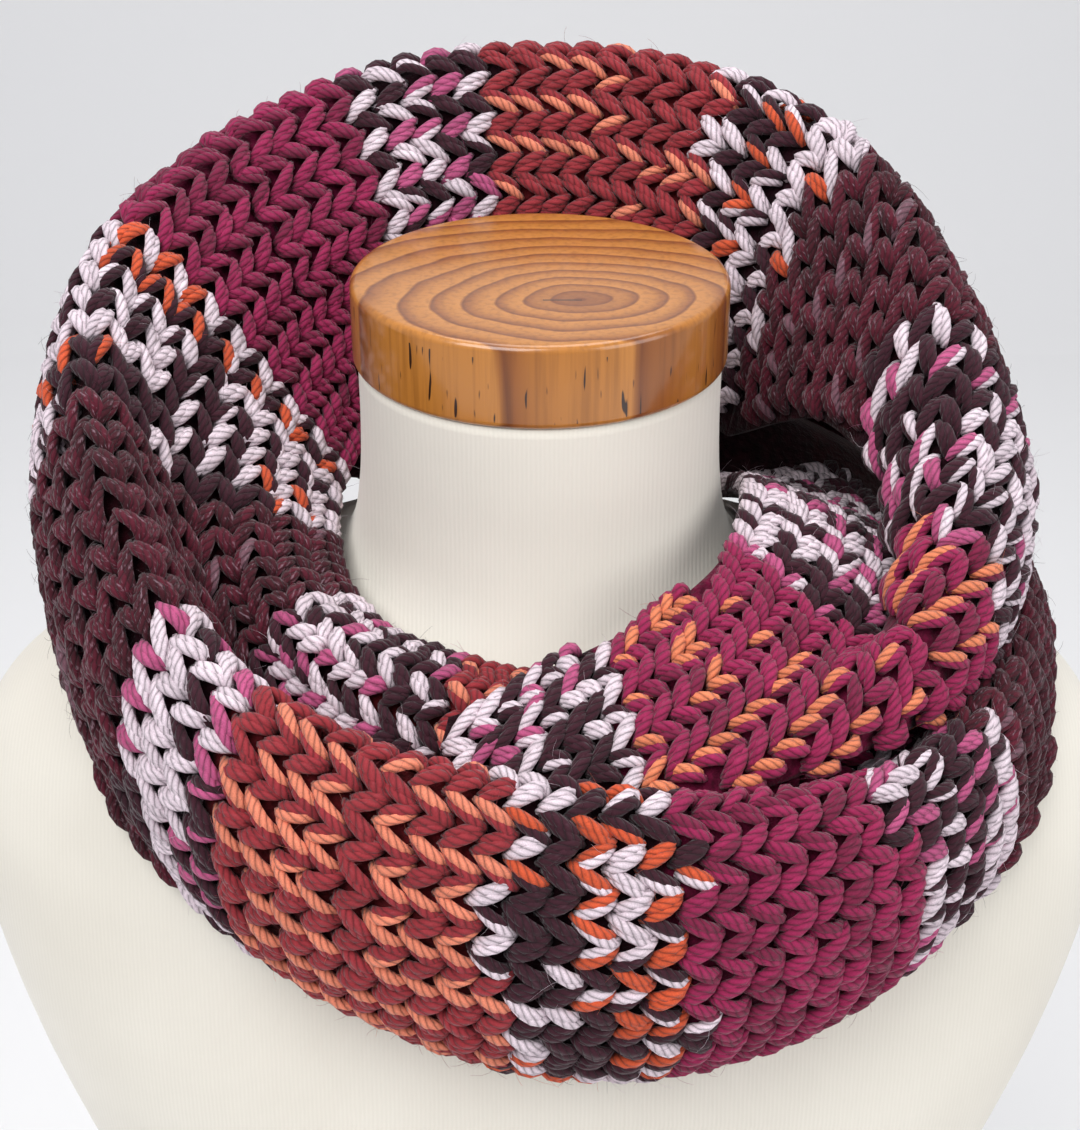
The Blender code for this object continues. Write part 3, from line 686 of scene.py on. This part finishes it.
def stitches(name, surface, first, last, counting, drift, table, draw):
    # V stitches: each leg's path in (rows, millimetres across, height) is laid on the surface at its row and column
    rowFirst, rowLast = np.interp([first, last], denseAngles, rowCount)
    rowNumbers = np.arange(math.ceil(rowFirst), math.ceil(rowLast))
    columnNumbers = np.arange(17)
    rows, columns = (grid.ravel() for grid in np.meshgrid(rowNumbers, columnNumbers, indexing="ij"))
    rowAngles = np.interp(rows, rowCount, denseAngles)
    widths = np.interp(rowAngles, surface["angles"], surface["width"])
    width = knit["columnWidth"]

    def middle(angle, column):
        # where the column's middle lies, in millimetres from the inner edge
        total = np.interp(angle, surface["angles"], surface["width"])
        if counting == "all":
            return (column + 0.5) * total / 17, total
        if counting == "outer":
            return total - (column + 0.5) * width, total
        travelled = np.radians(surface["angles"][-1] - angle) * 100 * drift
        return (column - 4 * (drift > 0)) * width + 2.2 + 0.32 * width + travelled, total

    place, total = middle(rowAngles, columns)
    inside = (place > 0.15 * width) & (place < total - 0.08 * width)
    rows, columns, rowAngles = rows[inside], columns[inside], rowAngles[inside]
    if counting == "all":  # the inner strip is another pass of the yarn's colours
        kindTables = (innerStripColours, table)
        inner = columns < 5
    else:
        kindTables = (table, table)
        inner = np.zeros(len(rows), bool)
    numbered = rows - rows.min()
    wobble = rowAngles + draw.normal(0, 0.7, len(rows))
    colours = np.zeros((len(rows), 2, 2, 3))
    kinds = np.empty(len(rows), object)
    for chosen, kindTable in ((inner, kindTables[0]), (~inner, kindTables[1])):
        if chosen.any():
            shades, names = yarnColours(kindTable, wobble[chosen], numbered[chosen], columns[chosen], draw)
            colours[chosen] = shades
            kinds[chosen] = names
    centres, normals, radii, tints, flecks = [], [], [], [], []
    for leg in (-1, 1):
        jitter = draw.normal(0, 0.05, (len(rows), 1))
        sideJitter = draw.normal(0, 0.25, (len(rows), 1))
        liftJitter = draw.normal(0, 0.25, (len(rows), 1))
        for strand in (0, 1):
            # the two strands lie side by side, the second a little higher, each with its own small swing along the leg
            apart = 1.42 * (1 if strand == 0 else -1)
            along = rows[:, None] + legPath[None, :, 0] + jitter - 0.1 * strand + draw.normal(0, 0.02, (len(rows), 1))
            swing = draw.normal(0, 0.35, (len(rows), 1)) * np.linspace(-1, 1, len(legPath))[None]
            across = leg * (legPath[None, :, 1] + apart * 0.8 + sideJitter) + swing
            lift = legPath[None, :, 2] + liftJitter + (0.35 if strand == 1 else 0.0) + draw.normal(0, 0.15, (len(rows), 1))
            angle = np.interp(along, rowCount, denseAngles)
            centre, total = middle(angle, columns[:, None])
            scale = total / 17 / width if counting == "all" else 1.0
            share = np.clip((centre + across * scale) / total, 0.004, 0.996)
            held = np.clip(angle, surface["angles"][0] - 2.5, surface["angles"][-1] + 2.5)
            point = onSurface(surface["points"], surface, held, share)
            normal = onSurface(surface["normals"], surface, np.clip(held, surface["angles"][0], surface["angles"][-1]), share)
            normal /= np.linalg.norm(normal, axis=-1, keepdims=True) + 1e-12
            centres.append(point + normal * lift[..., None] * mm)
            normals.append(normal)
            size = knit["strandRadius"] * mm * (1 + draw.normal(0, 0.06, (len(rows), 1)))
            radii.append(size * taper[None])
            tone = colours[:, (leg + 1) // 2, strand] * (1 + draw.normal(0, 0.07, (len(rows), 1)))
            tints.append(np.clip(tone, 0, 1))
            flecks.append(np.where(kinds == "burgundy", 0.55, 0.06).astype(float))
    centres, normals, radii, tints, flecks = (
        np.concatenate(part) for part in (centres, normals, radii, tints, flecks)
    )
    halves = 2 if len(rows) > 600 else 1
    half = np.tile(columns * halves // 17, 4)
    made = [
        strandMesh(f"{name}_stitches_{part + 1}", centres[half == part], normals[half == part], radii[half == part],
                   tints[half == part], flecks[half == part], knit["sides"])
        for part in range(halves)
    ]
    made.append(looseFibres(name + "_fuzz", centres, normals, radii, tints, draw))
    return made


def looseFibres(name, centres, normals, radii, tints, draw):
    # hairs that stand off the strands: start + length (t direction + lift t (1 - 0.45 t) normal + curl t^2 side)
    count = int(len(centres) * knit["fibresPerStrand"])
    chosen = draw.integers(0, len(centres), count)
    station = draw.integers(1, centres.shape[1] - 1, count)
    normal = normals[chosen, station]
    along = centres[chosen, station + 1] - centres[chosen, station - 1]
    along /= np.linalg.norm(along, axis=-1, keepdims=True)
    side = np.cross(along, normal)
    turn = draw.uniform(0, 2 * math.pi, (count, 1))
    direction = along * np.cos(turn) + side * np.sin(turn)
    across = np.cross(direction, normal)
    length = draw.uniform(2.0, 6.5, (count, 1, 1)) * mm
    lift = draw.uniform(0.2, 1.0, (count, 1, 1))
    curl = draw.normal(0, 0.5, (count, 1, 1))
    t = np.linspace(0, 1, 4)[None, :, None]
    path = (centres[chosen, station] + normal * radii[chosen, station][:, None] * 0.85)[:, None] + length * (
        t * direction[:, None] + lift * t * (1 - 0.45 * t) * normal[:, None] + curl * t**2 * across[:, None])
    thin = np.full((count, 1), knit["fibreRadius"] * mm) * np.array([[1.0, 1.0, 0.9, 0.5]])
    pale = np.clip(tints[chosen] * 1.3 + 0.02, 0, 1)
    return strandMesh(name, path, np.repeat(normal[:, None], 4, 1), thin, pale, np.zeros(count), 3)


wool = plyWool()
inside = shadedKnit()
for number, (name, node, table, first, last, counting, drift, colours) in enumerate(stretches):
    draw = np.random.default_rng(40 + number)
    surface = bandSurface(table, first, last)
    wall = shellMesh(name, surface, colours)
    wall.data.materials.append(inside)
    sewn = stitches(name, surface, first, last, counting, drift, colours, draw)
    for piece in (wall, *sewn):
        if piece is not wall:
            piece.data.materials.append(wool)
        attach(piece, "root")
    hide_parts(node)

studio = {
    "halfWidth": 3.5, "floorFront": -2.5, "floorBack": 1.6, "sweep": 0.8, "wallTop": 3.0,  # metres
    "cameraDistance": 0.5616, "cameraRise": 0.2111, "cameraPitch": 28.8, "lens": 64.35,
}


def stageSurface(name, along, height, paint):
    # a profile of (distance back, height) pairs, drawn out straight across the room
    x = np.array([-studio["halfWidth"], studio["halfWidth"]])
    points = np.stack([np.stack([x, np.full(2, back), np.full(2, up)], -1) for back, up in zip(along, height)])
    rows = np.arange(len(along) - 1) * 2
    quads = np.stack([rows, rows + 1, rows + 3, rows + 2], -1)
    made = newMesh(name, points.reshape(-1, 3), quads)
    made.data.materials.append(paint)
    return made


def studioRoom():
    # a flat floor, and a wall that rises from it through a quarter circle
    paint, tree, shader = newMaterial("matt_white_paint", {"Base Color": linear("#F2F1F0"), "Roughness": 0.9})
    bend = np.linspace(0, math.pi / 2, 16)
    back, sweep = studio["floorBack"], studio["sweep"]
    floor = stageSurface("studio_floor", [studio["floorFront"], back], [0.0, 0.0], paint)
    wall = stageSurface("studio_backdrop", np.append(back + sweep * np.sin(bend), back + sweep),
                        np.append(sweep - sweep * np.cos(bend), studio["wallTop"]), paint)


def areaLight(name, place, target, size, power):
    light = bpy.data.lights.new(name, "AREA")
    light.shape = "RECTANGLE"
    light.size, light.size_y = size
    light.energy = power
    holder = bpy.data.objects.new(name, light)
    holder.location = place
    toward = np.array(target) - np.array(place)
    flat = math.hypot(toward[0], toward[1])
    holder.rotation_euler = (math.pi / 2 + math.atan2(toward[2], flat), 0, math.atan2(toward[1], toward[0]) - math.pi / 2)
    bpy.context.scene.collection.objects.link(holder)


studioRoom()
areaLight("key", (-0.6, -1.0, 2.0), (0, 0, 0.6), (1.2, 1.2), 27)
areaLight("fill", (1.3, -0.9, 1.2), (0, 0, 0.6), (1.2, 1.2), 12)
areaLight("top", (0.1, 0.5, 2.2), (0, 0, 0.6), (1.4, 1.0), 14)
world = bpy.data.worlds.new("studio_air")
world.use_nodes = True
world.node_tree.nodes["Background"].inputs["Color"].default_value = linear("#F3F6FF")
world.node_tree.nodes["Background"].inputs["Strength"].default_value = 0.46
bpy.context.scene.world = world
bpy.context.scene.view_settings.view_transform = "Standard"

lens = bpy.data.cameras.new("camera")
lens.lens = studio["lens"]
lens.sensor_width = 36
lens.sensor_fit = "AUTO"
camera = bpy.data.objects.new("camera", lens)
camera.location = (0, -studio["cameraDistance"], capTop + studio["cameraRise"])
camera.rotation_euler = (math.radians(90 - studio["cameraPitch"]), 0, 0)
bpy.context.scene.collection.objects.link(camera)
bpy.context.scene.camera = camera

print("scene ready")
